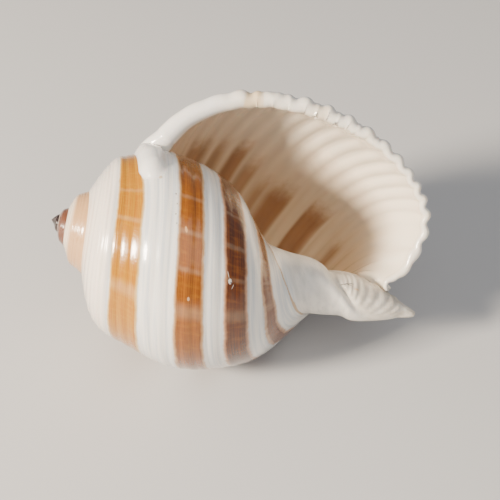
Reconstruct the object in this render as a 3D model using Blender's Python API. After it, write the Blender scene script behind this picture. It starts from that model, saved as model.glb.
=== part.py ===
"""A tun shell, lying on the back of its body whorl with the mouth up.

Everything is worked out about the shell's own axis: the apex is at the origin and the
axis runs down to the siphonal canal. An angle of growth of 0 is the lip, and smaller
angles are older shell. The place along the outline is 0 at the suture, 8 at the base,
8.9 where the neck starts and 12 at the tip of the canal.
"""

import math

import bmesh
import bpy
import numpy as np

MM = 0.001
TURN = 2 * math.pi

# The outline of the last whorl at the lip, and how much each point grows in one turn.
# Each row: radius mm, depth below the apex mm, growth of the radius, growth of the depth.
BODY_OUTLINE = (
    (19.6, 14.5, 2.10, 2.10),
    (33.8, 26.8, 2.40, 2.95),
    (41.2, 38.9, 2.50, 3.62),
    (43.5, 52.4, 2.43, 3.67),
    (41.9, 66.4, 1.97, 3.36),
    (36.9, 78.4, 1.58, 2.98),
    (30.6, 86.3, 1.35, 2.58),
    (22.3, 90.8, 1.18, 2.15),
    (10.0, 88.7, 1.04, 1.73),
)
SPIRE_GROWTH = 2.10  # each older whorl is this many times smaller
SUTURE = 3.12  # where the next whorl meets the outline
RATE_BLEND = 0.6  # radians over which the spire takes over from the last whorl
SUTURE_SHIFT = 0.34  # the last whorl sits this much lower on the spire's near side
LIP_SHIFT = 0.45  # and its end, at the lip, this much
LEAN = (-1.5, -0.35, 0.0)  # the oldest whorls lean over by this
SWELL = 1.5  # fullness of the whorl in front of the mouth's upper corner
SPIRE_TRIM = 0.8  # the older whorls are this much flatter

# The neck, its groove, the fasciole's swelling and the tip, as radius and depth in mm.
NECK_RADIUS = 7.0
NECK_DEPTH_OLD = 58.6
NECK_DEPTH_LIP = 84.1
GROOVE_RADIUS = 5.5
GROOVE_GAP = 14.0
FASCIOLE_RADIUS = 5.8
FASCIOLE_GAP = 5.3
TAPER_RADIUS = 3.25
TAPER_DEPTH = 89.6
TIP_DEPTH = 96.6
FOLD_HEIGHT = 0.95  # the ridge beside the fasciole
NIB = 0.45  # the small swelling at the canal's tip
KNOTS = (0, 1, 2, 3, 4, 5, 6, 7, 8, 8.9, 9.5, 10.1, 10.7, 11.3, 12.0)

# Ribs: broad, with a groove between each two.
RIB_PITCH = 0.404
RIB_CENTRE = 3.05
FIRST_RIB = 0.22
RIBS = 21
RIB_DEPTH = 0.25
RIB_DEPTH_LIP = 0.42
RIB_DEPTH_INSIDE = 0.46

# Walls, lip and canal, in mm unless they are angles.
WALL = 1.25
WALL_GROWTH = 1.5
FLARE = 2.0
FLARE_REACH = 5.0
LIP_THICKNESS = 3.0  # the lip is a thick roll above
LIP_THICKNESS_END = 1.2  # and thinner towards the canal
LIP_REACH = 4.2
LIP_BULGE = 2.2
LIP_BULGE_END = 1.3
SCALLOP = 0.36
TOOTH = 0.3
TOOTH_PITCH_OLD = 0.6
FOLD_INSIDE = 0.8
LIP_END = (-2.9, -3.9)  # the lip's last stretch comes in to the canal by this
NOTCH_ANGLE = 60.0
CORE_RADIUS = 4.0
CANAL_CORE_RADIUS = 1.8

# The roll that the lip's upper end makes, down onto the whorl before it: the place along
# the rim, then the angle, place and lift on the whorl, each with the roll's radius.
ROLL_ON_RIM = ((1.9, 1.8), (1.4, 2.1), (0.9, 2.35), (0.5, 2.65), (0.2, 3.0))
ROLL_ON_WHORL = ((-362.0, 3.86, -0.8, 3.3), (-350.0, 3.88, -0.9, 3.3), (-329.0, 3.88, -1.1, 3.2))
ROLL_BLEND = 0.9

# The mesh.
COLUMNS = 30
EXTRA_COLUMNS = (-354.0, -342.0, -330.0, -318.0, -8.0, -4.0)
WHORLS = 3
NECK_ROWS = (8.6, 8.95, 9.3, 9.55, 9.8, 10.05, 10.3, 10.55, 10.8, 11.1, 11.4, 11.75, 12.0)
TUBE_ANGLES = (0, -2, -4.5, -8, -13, -20, -30, -42, -56, -72, -90, -112, -136, -162, -192, -226,
               -264, -304, -346, -392, -440, -490, -540, -592, -646)
COARSE_FROM = -130.0  # deeper than this the tube has half the rows
RIM_SHARES = (0.12, 0.5, 0.88)
SHARP_ANGLE = 40.0  # edges sharper than this stay sharp when shaded

# The shell as it lies: the way down, in the shell's own axes, where that puts the middle of
# its underside, and the flat that it rests on.
DOWN = (-0.81, 0.52, -0.27)
REST_SHIFT = (47.1218, 5.4359, -42.5005)
FLAT_REACH = 1.0


def smooth_step(value, start, end):
    """0 before start, 1 after end, with an easy curve between."""
    part = np.clip((np.asarray(value, float) - start) / (end - start), 0.0, 1.0)
    return part * part * (3 - 2 * part)


def hump(value, centre, width):
    """1 at the centre, falling away smoothly on both sides."""
    return np.exp(-(((np.asarray(value, float) - centre) / width) ** 2))


def smooth_larger(first, second, width=0.5):
    return 0.5 * (first + second + np.sqrt((first - second) ** 2 + width * width))


def spline_weights(places):
    """How much each outline point counts at these places, for a natural cubic spline."""
    knots = np.array(KNOTS, float)
    count = len(knots)
    gaps = np.diff(knots)
    left = np.zeros((count, count))
    right = np.zeros((count, count))
    left[0, 0] = left[-1, -1] = 1.0
    for i in range(1, count - 1):
        left[i, i - 1] = gaps[i - 1]
        left[i, i] = 2 * (gaps[i - 1] + gaps[i])
        left[i, i + 1] = gaps[i]
        right[i, i - 1] = 6 / gaps[i - 1]
        right[i, i] = -6 / gaps[i - 1] - 6 / gaps[i]
        right[i, i + 1] = 6 / gaps[i]
    bends = np.linalg.solve(left, right)
    places = np.asarray(places, float)
    span = np.clip(np.searchsorted(knots, places, side="right") - 1, 0, count - 2)
    gap = gaps[span][..., None]
    after = (places - knots[span])[..., None] / gap
    before = 1 - after
    unit = np.eye(count)
    straight = before * unit[span] + after * unit[span + 1]
    curve = (before**3 - before) * bends[span] + (after**3 - after) * bends[span + 1]
    return straight + curve * gap**2 / 6


def outline_points(angles):
    """The outline's own points at these angles in degrees, as radius and height in mm."""
    theta = np.radians(np.asarray(angles, float))
    since_spire = theta + TURN
    own_rate = 0.5 * (since_spire + np.sqrt(since_spire**2 + RATE_BLEND**2))
    own_rate -= 0.5 * (TURN + math.sqrt(TURN**2 + RATE_BLEND**2))
    spire_rate = math.log(SPIRE_GROWTH) / TURN
    radii = []
    heights = []
    for radius, depth, wider, deeper in BODY_OUTLINE:
        wide = (math.log(wider) / TURN - spire_rate) * own_rate
        deep = (math.log(deeper) / TURN - spire_rate) * own_rate
        radii.append(radius * np.exp(spire_rate * theta + wide))
        heights.append(-depth * np.exp(spire_rate * theta + deep))
    turned = np.maximum(since_spire / TURN, 0.0)
    older = SPIRE_GROWTH ** np.minimum(since_spire / TURN, 0.0)
    neck = NECK_DEPTH_OLD * (NECK_DEPTH_LIP / NECK_DEPTH_OLD) ** turned
    gap = GROOVE_GAP * (1 - turned) + 1.0
    groove = neck + gap
    fasciole = groove + FASCIOLE_GAP * (1 - turned) + 1.5 * turned
    taper = smooth_larger(TAPER_DEPTH, fasciole + 1.0)
    neck_points = (
        (NECK_RADIUS, -neck),
        (0.5 * (NECK_RADIUS + GROOVE_RADIUS), -neck - 0.5 * gap),
        (GROOVE_RADIUS, -groove),
        (FASCIOLE_RADIUS, -fasciole),
        (TAPER_RADIUS, -taper),
        (0.0, -TIP_DEPTH),
    )
    radii += [radius * older for radius, height in neck_points]
    heights += [height * older for radius, height in neck_points]
    return np.stack([np.stack(radii, -1), np.stack(heights, -1)], -1)


def suture_at(angles):
    """The place on the older whorl, at its own angle, where the next whorl is joined."""
    near = smooth_step(angles, -720.0, -620.0) * (1 - smooth_step(angles, -540.0, -430.0))
    at_lip = smooth_step(angles, -430.0, -362.0) * (1 - smooth_step(angles, -358.0, -325.0))
    return SUTURE + SUTURE_SHIFT * near + LIP_SHIFT * at_lip


def shifted_places(angle, places):
    """The rows of places, eased so that the suture's own row follows the suture."""
    around = smooth_step(places, 1.2, SUTURE) * (1 - smooth_step(places, SUTURE, 5.0))
    return places + (float(suture_at(angle)) - SUTURE) * around


def rib_height(places):
    """From -1 in the groove between two ribs to 0 on a rib's broad top."""
    phase = (places - RIB_CENTRE) / RIB_PITCH
    groove = (0.5 - 0.5 * np.cos(TURN * phase)) ** 1.6
    return -groove * smooth_step(places, 0.1, 0.5) * (1 - smooth_step(places, 8.2, 8.6))


def rim_teeth(places):
    """Along the lip a broad tooth on each rib and a narrow one between, from 0 to 1."""
    gone = places - RIB_CENTRE
    phase = np.where(gone < 0, gone / TOOTH_PITCH_OLD, gone / RIB_PITCH)
    off = np.abs((phase + 0.5) % 1.0 - 0.5)
    reach = 0.32 + 0.18 * smooth_step(places, 3.6, 4.8)
    broad = np.cos(0.5 * math.pi * np.minimum(off / reach, 1.0))
    beside = np.minimum((0.5 - off) / np.maximum(0.5 - reach, 0.01), 1.0)
    narrow = 0.6 * np.cos(0.5 * math.pi * beside)
    tops = np.sqrt(np.maximum(broad, narrow * (off > reach)) ** 2 + 0.04)
    fade = smooth_step(places, 1.3, 2.1) * (1 - smooth_step(places, 7.2, 7.7))
    return 0.7 + (tops - 0.7) * fade


def notch(places):
    """Degrees by which the lip's edge draws back to leave the siphonal notch."""
    places = np.asarray(places, float)
    return -NOTCH_ANGLE * smooth_step(places, 9.15, 10.1) * (1 - smooth_step(places, 10.9, 12.0))


def neck_relief(angles, places):
    """The fold beside the fasciole and the small nib at the canal's end, in mm."""
    fold = 9.85 + 0.95 * smooth_step(angles, -325.0, -225.0)
    own = smooth_step(angles, -420.0, -380.0) * (1 - smooth_step(angles, -275.0, -215.0))
    ridge = 0.8 * hump(places, fold - 0.34, 0.3) - hump(places, fold + 0.07, 0.13)
    nib = NIB * smooth_step(places, 11.55, 11.9)
    return own * FOLD_HEIGHT * ridge + nib * smooth_step(angles, -420.0, -380.0)


def line_at(angles, places):
    return np.einsum("...k,...kc->...c", spline_weights(places), outline_points(angles))


def normal_of(ahead, behind):
    """The outward normal of an outline, from a point ahead on it and one behind."""
    along = ahead - behind
    along /= np.linalg.norm(along, axis=-1, keepdims=True)
    return np.stack([-along[..., 1], along[..., 0]], -1)


def away_from_lip(angles, places):
    """How far each point is from the lip's edge, in mm along the growth."""
    line = line_at(np.zeros_like(angles), places)
    return np.maximum(np.radians(notch(places) - angles) * np.maximum(line[..., 0], 6.0), 0.0)


def bare_line(angles, places, lift=0.0, inside=False):
    """The outline with its ribs and relief, moved out along its normal by lift, in mm."""
    size = np.minimum(1.0, SPIRE_GROWTH ** (angles / 360.0))
    depth = RIB_DEPTH + (RIB_DEPTH_LIP - RIB_DEPTH) * smooth_step(angles, -50.0, -4.0)
    if inside:
        depth = RIB_DEPTH_INSIDE * smooth_step(away_from_lip(angles, places), 1.5, 8.0)
    lift = lift + depth * size**0.8 * rib_height(places) + neck_relief(angles, places)
    across = smooth_step(places, 1.5, 2.7) * (1 - smooth_step(places, 4.0, 5.2))
    before_mouth = smooth_step(angles, -430.0, -372.0) * (1 - smooth_step(angles, -345.0, -300.0))
    lift = lift + SWELL * across * before_mouth
    old = 1 - smooth_step(angles, -660.0, -520.0)
    lift = lift - SPIRE_TRIM * size * 2.1 * hump(places, 1.9, 0.75) * old
    ahead = line_at(angles, np.minimum(places + 0.01, 12.0))
    behind = line_at(angles, np.maximum(places - 0.01, 0.0))
    return line_at(angles, places) + normal_of(ahead, behind) * lift[..., None]


def flare_of(angles, places):
    """0 to 1: how near this part of the outline is to the lip's edge."""
    close = np.exp(-((away_from_lip(angles, places) / FLARE_REACH) ** 2))
    return close * smooth_step(places, -0.05, 0.9) * (1 - smooth_step(places, 8.0, 8.8))


def lip_thickening(angles, places):
    """Extra thickness in mm near the lip's edge."""
    close = np.exp(-((away_from_lip(angles, places) / LIP_REACH) ** 2))
    later = smooth_step(places, 3.0, 5.8)
    most = LIP_THICKNESS * (1 - later) + LIP_THICKNESS_END * later
    teeth = 1 + 0.1 * (rim_teeth(places) - 0.7)
    return most * teeth * close * (1 - smooth_step(places, 8.0, 8.8))


def outer_line(angles, places, inside=False):
    """The outside at these angles and places, and the angle that each point lies at."""
    own = angles + notch(places) * smooth_step(angles, -150.0, 0.0)
    crest = 2 * rim_teeth(places) - 1
    lift = flare_of(own, places) * (FLARE + SCALLOP * crest) * (angles > -90)
    line = bare_line(own, places, lift, inside)
    joined = bare_line(angles - 360.0, suture_at(angles - 360.0) + 0 * places)
    first = bare_line(angles, np.zeros_like(places))
    hold = np.clip(1 - places / 1.2, 0.0, 1.0) ** 2
    line = line + hold[..., None] * (joined - first)
    last_stretch = hump(places, 8.95, 0.42) * smooth_step(own, -45.0, -4.0)
    return line + last_stretch[..., None] * np.array(LIP_END), own


def inner_line(angles, places):
    """The inside of the outer wall at these angles and places."""
    line, own = outer_line(angles, places, True)
    ahead = outer_line(angles, np.minimum(places + 0.05, 12.0), True)[0]
    behind = outer_line(angles, np.maximum(places - 0.05, 0.0), True)[0]
    thickness = WALL * WALL_GROWTH ** (np.minimum(angles, 0.0) / 360.0)
    thickness = np.minimum(thickness, 0.35 * np.maximum(line[..., 0], 0.0))
    fold = hump(places, 7.55 - 0.011 * angles, 0.15) * smooth_step(angles, -60.0, -20.0)
    thickness = thickness + (lip_thickening(own, places) + FOLD_INSIDE * fold) * (angles > -90)
    return line - normal_of(ahead, behind) * thickness[..., None], own


def lean_at(angles, places):
    """How far the oldest whorls lean over; a whorl's top leans as the one it is joined to."""
    own = smooth_step(-np.asarray(angles, float), 500.0, 1000.0)
    joined = smooth_step(360.0 - np.asarray(angles, float), 500.0, 1000.0)
    hold = np.clip(1 - places / 1.2, 0.0, 1.0) ** 2
    return (own + hold * (joined - own))[..., None] * np.array(LEAN)


def on_axis_frame(line, angles, places=12.0):
    """Radius and height at these angles as points in the shell's own axes."""
    turned = np.radians(angles)
    x = line[..., 0] * np.cos(turned)
    y = -line[..., 0] * np.sin(turned)
    return np.stack([x, y, line[..., 1]], -1) + lean_at(angles, np.asarray(places, float))


def zipper(first, second, points):
    """Triangles between two rows of point numbers, always across the shorter diagonal."""
    faces = []
    i = j = 0
    while i < len(first) - 1 or j < len(second) - 1:
        can_first = i < len(first) - 1
        can_second = j < len(second) - 1
        if can_first and can_second:
            one = np.linalg.norm(points[first[i + 1]] - points[second[j]])
            two = np.linalg.norm(points[first[i]] - points[second[j + 1]])
            use_first = one <= two
        else:
            use_first = can_first
        if use_first:
            faces.append((first[i], second[j], first[i + 1]))
            i += 1
        else:
            faces.append((first[i], second[j], second[j + 1]))
            j += 1
    return faces


def grid_faces(rows):
    """Quads between neighbouring columns of point numbers, and triangles where two agree."""
    faces = []
    for left, right in zip(rows[:-1], rows[1:]):
        for i in range(len(left) - 1):
            corners = [left[i], right[i], right[i + 1], left[i + 1]]
            kept = [c for k, c in enumerate(corners) if c not in corners[:k]]
            if len(kept) > 2:
                faces.append(tuple(kept))
    return faces


def build_shell():
    rib_rows = [FIRST_RIB + 0.5 * RIB_PITCH * i for i in range(2 * RIBS - 1)]
    places = np.array([0.0] + [p for p in rib_rows if p < 8.45] + list(NECK_ROWS))
    suture_row = int(np.argmin(np.abs(places - SUTURE)))
    places[suture_row] = SUTURE
    last_row = len(places) - 1
    hook_row = suture_row + 6
    neck_row = last_row - len(NECK_ROWS)
    pattern = [-360.0 + 360.0 * k / COLUMNS for k in range(COLUMNS)]
    pattern = sorted(set(pattern + list(EXTRA_COLUMNS)))
    per_turn = len(pattern)
    angles = [a - 360.0 * w for w in range(WHORLS - 1, -1, -1) for a in pattern] + [0.0]

    points = []

    def add(new):
        first = len(points)
        points.extend(np.asarray(new))
        return list(range(first, len(points)))

    tip = add([(0.0, 0.0, -TIP_DEPTH)])[0]
    outer = []
    last_turn = per_turn * (WHORLS - 1)
    for column, angle in enumerate(angles):
        full = column >= last_turn
        rows = places[:last_row] if full else places[: suture_row + 1]
        rows = shifted_places(angle, rows)
        line, own = outer_line(np.full(len(rows), angle), rows)
        cloud = on_axis_frame(line, own, rows)
        if column < per_turn:
            numbers = add(cloud[:1])
        else:
            numbers = [outer[column - per_turn][suture_row]]
        numbers += add(cloud[1:])
        if full:
            numbers.append(tip)
        outer.append(numbers)
    faces = []
    spire = [numbers[: suture_row + 1] for numbers in outer[: last_turn + 1]]
    faces += grid_faces(spire)
    faces += grid_faces(outer[last_turn:])

    apex = add([(LEAN[0], LEAN[1], 0.2)])[0]
    crown = [numbers[0] for numbers in outer[: per_turn + 1]]
    start_edge = [outer[0][i] for i in range(suture_row, -1, -1)]
    ring = crown + start_edge[1:-1]
    for a, b in zip(ring, ring[1:] + ring[:1]):
        faces.append((a, b, apex))

    count = last_row - neck_row
    part = np.clip((np.arange(last_row) - neck_row) / count, 0.0, 1.0)
    beyond = part > 0
    inside = []
    parietal = []
    for column, angle in enumerate(TUBE_ANGLES):
        older = SPIRE_GROWTH ** min((angle + 360.0) / 360.0, 0.0)
        canal = float(1 - smooth_step(-angle, 20.0, 130.0))
        open_neck = float(1 - smooth_step(-angle, 4.0, 55.0))
        opened = float(smooth_step(-angle, 0.0, 60.0))
        # The inside of the outer wall.
        line, own = inner_line(np.full(last_row, float(angle)), places[:last_row])
        neck_start = line[neck_row].copy()
        corner_radius = (CORE_RADIUS * (1 - canal) + CANAL_CORE_RADIUS * canal * opened) * older
        deep_corner = np.array([corner_radius, neck_start[1] + older])
        tip_corner = np.array([corner_radius, -TIP_DEPTH + 4.0 * opened])
        corner = tip_corner * canal + deep_corner * (1 - canal)
        share = part[:, None]
        straight = neck_start * (1 - share) + corner * share
        line[beyond] = (line * canal + straight * (1 - canal))[beyond]
        own = own * (1 - part * (1 - canal)) + angle * part * (1 - canal)
        # The parietal wall, which is the outside of the whorl before, and the core.
        kept_start = places[hook_row]
        wall_start = float(suture_at(angle - 360.0)) + 0.25
        start = kept_start + (wall_start - kept_start) * float(smooth_step(-angle, 0.0, 40.0))
        rows = places[hook_row:last_row]
        shifted = rows + (start - kept_start) * np.clip(1 - (rows - kept_start) / 2.0, 0.0, 1.0)
        old_angle = np.full(len(rows), angle - 360.0)
        old_line = bare_line(old_angle, shifted)
        base = old_line[neck_row - hook_row].copy()
        core_share = share[hook_row:]
        core_radius = corner[0] + (base[0] - corner[0]) * (1 - core_share) ** 2
        core = np.concatenate([core_radius, base[1] + (corner[1] - base[1]) * core_share], 1)
        past_wall = core_share[:, 0] > 0
        old_line[past_wall] = (old_line * open_neck + core * (1 - open_neck))[past_wall]
        coarse = angle < COARSE_FROM
        if column == 0:
            wall_numbers = outer[last_turn][hook_row:]
            corner_number = tip
        else:
            kept = [k for k in range(len(rows)) if not coarse or k % 2 == 0]
            wall_numbers = add(on_axis_frame(old_line[kept], old_angle[kept]))
            corner_number = add(on_axis_frame(corner[None], np.array([float(angle)])))[0]
            wall_numbers.append(corner_number)
        parietal.append(wall_numbers)
        # Near the suture the wall runs straight to the corner of the mouth.
        reach = 0.63
        held = inner_line(np.array([float(angle)]), np.array([reach]))[0]
        held = on_axis_frame(held, np.array([float(angle)]))[0]
        low = (places[:last_row] < reach)[:, None]
        to_corner = places[:last_row, None] / reach
        laid = on_axis_frame(line, own)
        laid = np.where(low, points[wall_numbers[0]] * (1 - to_corner) + held * to_corner, laid)
        kept = [k for k in range(1, last_row) if not coarse or k % 2 == 1]
        inside.append([wall_numbers[0]] + add(laid[kept]) + [corner_number])
    cloud = np.array(points)
    for strips in (inside, parietal):
        for left, right in zip(strips[:-1], strips[1:]):
            if len(left) == len(right):
                faces += grid_faces([left, right])
            else:
                faces += zipper(left, right, cloud)
    faces += zipper(inside[-1], parietal[-1], cloud)

    # The rounded edge of the lip.
    edge = outer[-1]
    inner_edge = inside[0]
    edge_points = cloud[edge[1:last_row]]
    inner_points = cloud[inner_edge[1:last_row]]
    rim_places = places[1:last_row]
    turned = np.radians(notch(rim_places))
    forward = np.stack([-np.sin(turned), -np.cos(turned), np.zeros(len(rim_places))], 1)
    later = smooth_step(rim_places, 3.2, 6.0)
    bulge = LIP_BULGE * (1 - later) + LIP_BULGE_END * later
    bulge = bulge * (1 - smooth_step(rim_places, 8.4, 9.2)) + 0.3
    bulge = bulge + TOOTH * (rim_teeth(rim_places) - 0.7)
    bulge = bulge * (1 - 0.8 * smooth_step(rim_places, 11.0, 11.9))
    bulge = bulge * smooth_step(rim_places, -0.1, 0.5)
    rims = []
    for share in RIM_SHARES:
        out = 2 * math.sqrt(share * (1 - share))
        straight = edge_points * (1 - share) + inner_points * share
        rims.append(add(straight + forward * (bulge * out)[:, None]))
    strips = []
    for i in range(1, last_row):
        strips.append([edge[i]] + [rim[i - 1] for rim in rims] + [inner_edge[i]])
    faces += grid_faces(strips)
    last = strips[-1]
    for a, b in zip(last[:-1], last[1:]):
        faces.append((a, b, tip))
    cloud = np.array(points)
    faces += zipper(strips[0], outer[last_turn][suture_row : hook_row + 1], cloud)
    middle = 0.5 * (edge_points + inner_points)
    return push_roll(cloud, roll_path(rim_places, middle)), faces


def roll_path(rim_places, middle):
    """Centres and radii of the roll, from along the rim down onto the whorl before."""
    knots = []
    for place, radius in ROLL_ON_RIM:
        centre = [np.interp(place, rim_places, middle[:, k]) for k in range(3)]
        knots.append([centre[0], centre[1] - 0.3, centre[2], radius])
    for angle, place, lift, radius in ROLL_ON_WHORL:
        line = bare_line(np.array([angle]), np.array([place]), np.array([lift]))
        knots.append([*on_axis_frame(line, np.array([angle]))[0], radius])
    knots = np.array(knots)
    ends = np.concatenate([2 * knots[:1] - knots[1:2], knots, 2 * knots[-1:] - knots[-2:-1]])
    path = []
    for a, b, c, d in zip(ends, ends[1:], ends[2:], ends[3:]):
        for share in np.linspace(0, 1, 30):
            slope = (c - a) * share
            bend = (2 * a - 5 * b + 4 * c - d) * share**2
            twist = (3 * b - 3 * c + d - a) * share**3
            path.append(0.5 * (2 * b + slope + bend + twist))
    return np.array(path)


def push_roll(cloud, path):
    """Every point inside the roll is moved out to its surface."""
    near = np.linalg.norm(cloud - path[:, :3].mean(axis=0), axis=1) < 40
    gaps = np.linalg.norm(cloud[near][:, None] - path[None, :, :3], axis=2)
    closest = (gaps - path[None, :, 3]).argmin(axis=1)
    centre = path[closest, :3]
    radius = path[closest, 3]
    distance = gaps[np.arange(len(gaps)), closest]
    fuller = smooth_larger(distance, radius, ROLL_BLEND * math.sqrt(0.5))
    fade = 1 - smooth_step(distance - radius, 0.5, 3.0)
    away = (cloud[near] - centre) / np.maximum(distance, 0.05)[:, None]
    moved = cloud.copy()
    moved[near] = centre + away * (distance + (fuller - distance) * fade)[:, None]
    return moved


def lie_down(cloud):
    """Turned so that DOWN is down and the canal points along +X, and set on a small flat."""
    up = -np.array(DOWN) / np.linalg.norm(DOWN)
    canal = np.array([0.0, 0.0, -1.0])
    forward = canal - up * (canal @ up)
    forward /= np.linalg.norm(forward)
    laid = cloud @ np.stack([forward, np.cross(up, forward), up], axis=1) - np.array(REST_SHIFT)
    laid[laid[:, 2] < FLAT_REACH, 2] = 0.0
    return laid


def clear_scene():
    for thing in list(bpy.data.objects):
        bpy.data.objects.remove(thing, do_unlink=True)


def shell_material():
    material = bpy.data.materials.new("glossy shell")
    material.use_nodes = True
    shader = material.node_tree.nodes["Principled BSDF"]
    shader.inputs["Base Color"].default_value = (0.76, 0.66, 0.54, 1.0)
    shader.inputs["Roughness"].default_value = 0.27
    return material


def make_object(name, cloud, faces):
    mesh = bpy.data.meshes.new(name)
    mesh.from_pydata([tuple(p * MM) for p in cloud], [], faces)
    work = bmesh.new()
    work.from_mesh(mesh)
    bmesh.ops.triangulate(work, faces=work.faces[:])
    bmesh.ops.recalc_face_normals(work, faces=work.faces[:])
    work.to_mesh(mesh)
    work.free()
    mesh.validate()
    mesh.polygons.foreach_set("use_smooth", [True] * len(mesh.polygons))
    mesh.set_sharp_from_angle(angle=math.radians(SHARP_ANGLE))
    mesh.materials.append(shell_material())
    thing = bpy.data.objects.new(name, mesh)
    bpy.context.scene.collection.objects.link(thing)
    return thing


def main():
    clear_scene()
    cloud, faces = build_shell()
    make_object("shell", lie_down(cloud), faces)


main()
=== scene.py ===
import math

import bpy
import numpy as np
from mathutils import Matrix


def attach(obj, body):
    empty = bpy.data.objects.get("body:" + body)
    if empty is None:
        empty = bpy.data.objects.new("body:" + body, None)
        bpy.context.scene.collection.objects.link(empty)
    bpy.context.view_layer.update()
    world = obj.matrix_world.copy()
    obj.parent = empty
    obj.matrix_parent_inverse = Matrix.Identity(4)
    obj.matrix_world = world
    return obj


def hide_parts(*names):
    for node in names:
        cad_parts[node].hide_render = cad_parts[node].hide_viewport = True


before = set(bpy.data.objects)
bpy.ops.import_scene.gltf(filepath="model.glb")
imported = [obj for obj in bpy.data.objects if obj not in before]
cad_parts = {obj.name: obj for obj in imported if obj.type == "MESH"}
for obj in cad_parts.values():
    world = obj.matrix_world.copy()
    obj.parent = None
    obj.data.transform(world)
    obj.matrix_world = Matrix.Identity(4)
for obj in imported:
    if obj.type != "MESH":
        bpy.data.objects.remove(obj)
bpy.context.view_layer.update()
print("frame loaded")

mm = 0.001
turn = 2 * math.pi

# The shell is worked out about its own axis, apex at the origin and the axis running down to the
# canal. An angle of growth of 0 is the lip, and older growth has a negative angle, in degrees. The
# place across a whorl runs from 0 at the suture over the body, to 8, and the neck, to 12 at the tip.
shell = {
    # radius mm, depth below the apex mm, growth of each in one turn
    "outline": [
        (19.6, 14.5, 2.10, 2.10),
        (33.8, 26.8, 2.40, 2.95),
        (41.2, 38.9, 2.50, 3.62),
        (43.5, 52.4, 2.43, 3.67),
        (41.9, 66.4, 1.97, 3.36),
        (36.9, 78.4, 1.58, 2.98),
        (30.6, 86.3, 1.35, 2.58),
        (22.3, 90.8, 1.18, 2.15),
        (10.0, 88.7, 1.04, 1.73),
    ],
    "knots": [0, 1, 2, 3, 4, 5, 6, 7, 8, 8.9, 9.5, 10.1, 10.7, 11.3, 12.0],
    "spireGrowth": 2.10,
    "rateBlend": 0.6,
    "suture": 3.12,
    "sutureShift": 0.34,  # the last whorl sits this much lower on the spire's near side
    "lipShift": 0.45,  # and where the lip's upper end comes down
    "lean": (-1.5, -0.35, 0.0),  # the oldest whorls lean over by this
    "swell": 1.5,  # fullness of the whorl in front of the mouth's upper corner
    "spireTrim": 0.8,  # the older whorls are this much flatter
    # neck and canal
    "neckRadius": 7.0,
    "neckDepthOld": 58.6,
    "neckDepthLip": 84.1,
    "grooveRadius": 5.5,
    "grooveGap": 14.0,
    "fascioleRadius": 5.8,
    "fascioleGap": 5.3,
    "taperRadius": 3.25,
    "taperDepth": 89.6,
    "tipDepth": 96.6,
    "foldHeight": 0.95,
    "foldPlace": (9.85, 0.95),  # where the fold lies, and how far it moves between these angles
    "foldAngles": (-325.0, -225.0),
    "rippleHeight": 0.16,
    "ripplePitch": 0.165,
    # ribs
    "ribPitch": 0.404,
    "ribCentre": 3.05,
    "ribDepth": 0.17,
    "ribDepthLip": 0.42,
    "ribDepthInside": 0.46,
    # wall and lip
    "wall": 1.25,
    "wallGrowth": 1.5,
    "flare": 2.0,  # the lip turns outwards by this
    "flareReach": 5.0,
    "lipThickness": 3.0,  # the lip is a thick roll above
    "lipThicknessEnd": 1.2,  # and thinner towards the canal
    "lipReach": 4.2,
    "lipBulge": 2.2,
    "lipBulgeEnd": 1.3,
    "scallop": 0.36,
    "tooth": 0.3,
    "toothPitchOld": 0.6,  # between the teeth of the lip's upper end
    "foldInside": 0.8,
    "notchAngle": 60.0,
    "lipEnd": (-2.9, -3.9),  # the lip's last stretch comes in to the canal by this
    "coreRadius": 4.0,
    "canalCoreRadius": 1.8,
    "rootPlace": 4.26,  # the roll is rooted on the whorl down to this place
    "neckPlace": 8.43,
    "cornerReach": 0.63,  # the mouth's upper corner is filled up to this place
    # the roll that the lip's upper end makes, down onto the whorl before it: places along the rim,
    # then angle, place and lift mm on the whorl, each with the roll's radius mm
    "rollOnRim": [(1.9, 1.8), (1.4, 2.1), (0.9, 2.35), (0.5, 2.65), (0.2, 3.0)],
    "rollOnWhorl": [(-362.0, 3.86, -0.8, 3.3), (-350.0, 3.88, -0.9, 3.3), (-329.0, 3.88, -1.1, 3.2)],
    "rollBlend": 0.9,
    "rollSteps": 30,  # points of its path from one of these places to the next
    "bendBefore": 8,  # its bend is this many points above the whorl
    "bendReach": 6.5,
    "bendSmoothing": 6,
    # how it lies
    "down": (-0.81, 0.52, -0.27),
    "restShift": (47.1218, 5.4359, -42.5005),
    "fit": 0.9965,  # keeps the rounded surface inside the faceted one's box
    # how finely it is modelled
    "columns": 96,
    "whorls": 4,
    "rowsPerRib": 12,
}


def smoothStep(value, start, end):
    part = np.clip((np.asarray(value, float) - start) / (end - start), 0.0, 1.0)
    return part * part * (3 - 2 * part)


def hump(value, centre, width):
    return np.exp(-(((np.asarray(value, float) - centre) / width) ** 2))


def smoothLarger(first, second, width=0.5):
    return 0.5 * (first + second + np.sqrt((first - second) ** 2 + width * width))


def splineWeights(places):
    # how much each outline point counts at these places, for a natural cubic spline
    knots = np.array(shell["knots"], float)
    count = len(knots)
    gaps = np.diff(knots)
    left = np.zeros((count, count))
    right = np.zeros((count, count))
    left[0, 0] = left[-1, -1] = 1.0
    for i in range(1, count - 1):
        left[i, i - 1 : i + 2] = gaps[i - 1], 2 * (gaps[i - 1] + gaps[i]), gaps[i]
        right[i, i - 1 : i + 2] = 6 / gaps[i - 1], -6 / gaps[i - 1] - 6 / gaps[i], 6 / gaps[i]
    bends = np.linalg.solve(left, right)
    places = np.asarray(places, float)
    span = np.clip(np.searchsorted(knots, places, side="right") - 1, 0, count - 2)
    gap = gaps[span][..., None]
    after = (places - knots[span])[..., None] / gap
    before = 1 - after
    unit = np.eye(count)
    straight = before * unit[span] + after * unit[span + 1]
    return straight + ((before**3 - before) * bends[span] + (after**3 - after) * bends[span + 1]) * gap**2 / 6


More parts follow.
